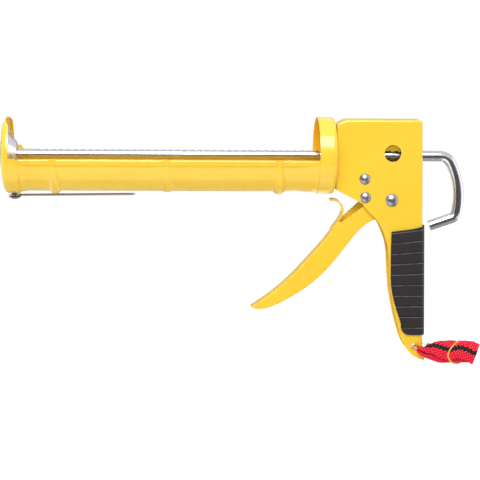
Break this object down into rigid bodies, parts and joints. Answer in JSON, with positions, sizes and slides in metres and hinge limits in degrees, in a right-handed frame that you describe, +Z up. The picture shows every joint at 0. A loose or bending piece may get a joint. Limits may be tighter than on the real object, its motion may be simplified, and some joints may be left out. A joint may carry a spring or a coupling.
{
  "type": "caulking gun",
  "caption": "Ratchet caulking gun with a half-round sheet-metal trough, slotted front cap, toothed push rod with hook, squeeze trigger, rubber grip, folding piercer and wrist strap.",
  "frame": {"origin": "middle of the hand grip on the gun's middle plane", "axes": "+X from the nozzle end to the pulling hook, along the push rod; +Y across the gun, away from the side with the sight hole; +Z up, so the rod lies above the grip"},
  "size_m": [0.3441, 0.0548, 0.1782],
  "materials": {
    "paint": "glossy yellow powder coat",
    "bright": "bright nickel plate",
    "zinc": "zinc plate",
    "hard_steel": "plain hardened steel",
    "spring": "drawn spring wire",
    "grip_rubber": "matt moulded rubber",
    "webbing": "woven red webbing with a dark stripe",
    "elastic": "thin rubber band"
  },
  "bodies": {
    "frame": {"trough": "paint", "front_cap": "paint", "retainer_cup": "paint", "neck_bracket": "zinc", "cup_rivets": "zinc", "housing": "paint", "rear_guide": "zinc", "grip": "grip_rubber", "bracket_rivets": "bright", "pivot_rivet": "bright", "pivot_bush": "zinc", "pivot_washers": "zinc", "piercer_rivet": "bright", "piercer_washer": "zinc"},
    "trigger": {"trigger": "paint", "pawl_pin": "hard_steel", "trigger_spring": "spring"},
    "pawl": {"pawl": "hard_steel", "pawl_spring": "spring"},
    "plunger": {"plunger_plate": "zinc"},
    "rod": {"push_rod": "bright", "plunger_nut": "zinc", "plunger_washer": "zinc"},
    "piercer": {"piercing_wire": "hard_steel"},
    "strap": {"strap_ring": "bright", "wrist_strap": "webbing", "strap_band": "elastic"}
  },
  "joints": [
    {"name": "trigger_squeeze", "type": "hinge", "parent": "frame", "child": "trigger", "pos_m": [-0.01195, 0, 0.05925], "axis": [0, -1, 0], "range_deg": [0, 32], "stiffness_Nm_per_rad": 0.5, "springref_deg": -34.38},
    {"name": "pawl_rock", "type": "hinge", "parent": "trigger", "child": "pawl", "pos_m": [-0.00672, 0, 0.07751], "axis": [0, -1, 0], "range_deg": [-33, 1]},
    {"name": "rod_slide", "type": "slide", "parent": "frame", "child": "plunger", "axis": [1, 0, 0], "range_m": [0, 0.2235]},
    {"name": "rod_turn", "type": "hinge", "parent": "plunger", "child": "rod", "pos_m": [-0.27855, 0, 0.09035], "axis": [1, 0, 0], "continuous": true},
    {"name": "piercer_swing", "type": "hinge", "parent": "frame", "child": "piercer", "pos_m": [-0.28075, 0, 0.0612], "axis": [0, 0, 1], "continuous": true},
    {"name": "strap_swing", "type": "hinge", "parent": "frame", "child": "strap", "pos_m": [0.00736, 0, -0.04825], "axis": [0, 1, 0], "range_deg": [0, 80]}
  ],
  "couplings": [
    {"joint": "pawl_rock", "follows": "trigger_squeeze", "ratio": -1}
  ]
}
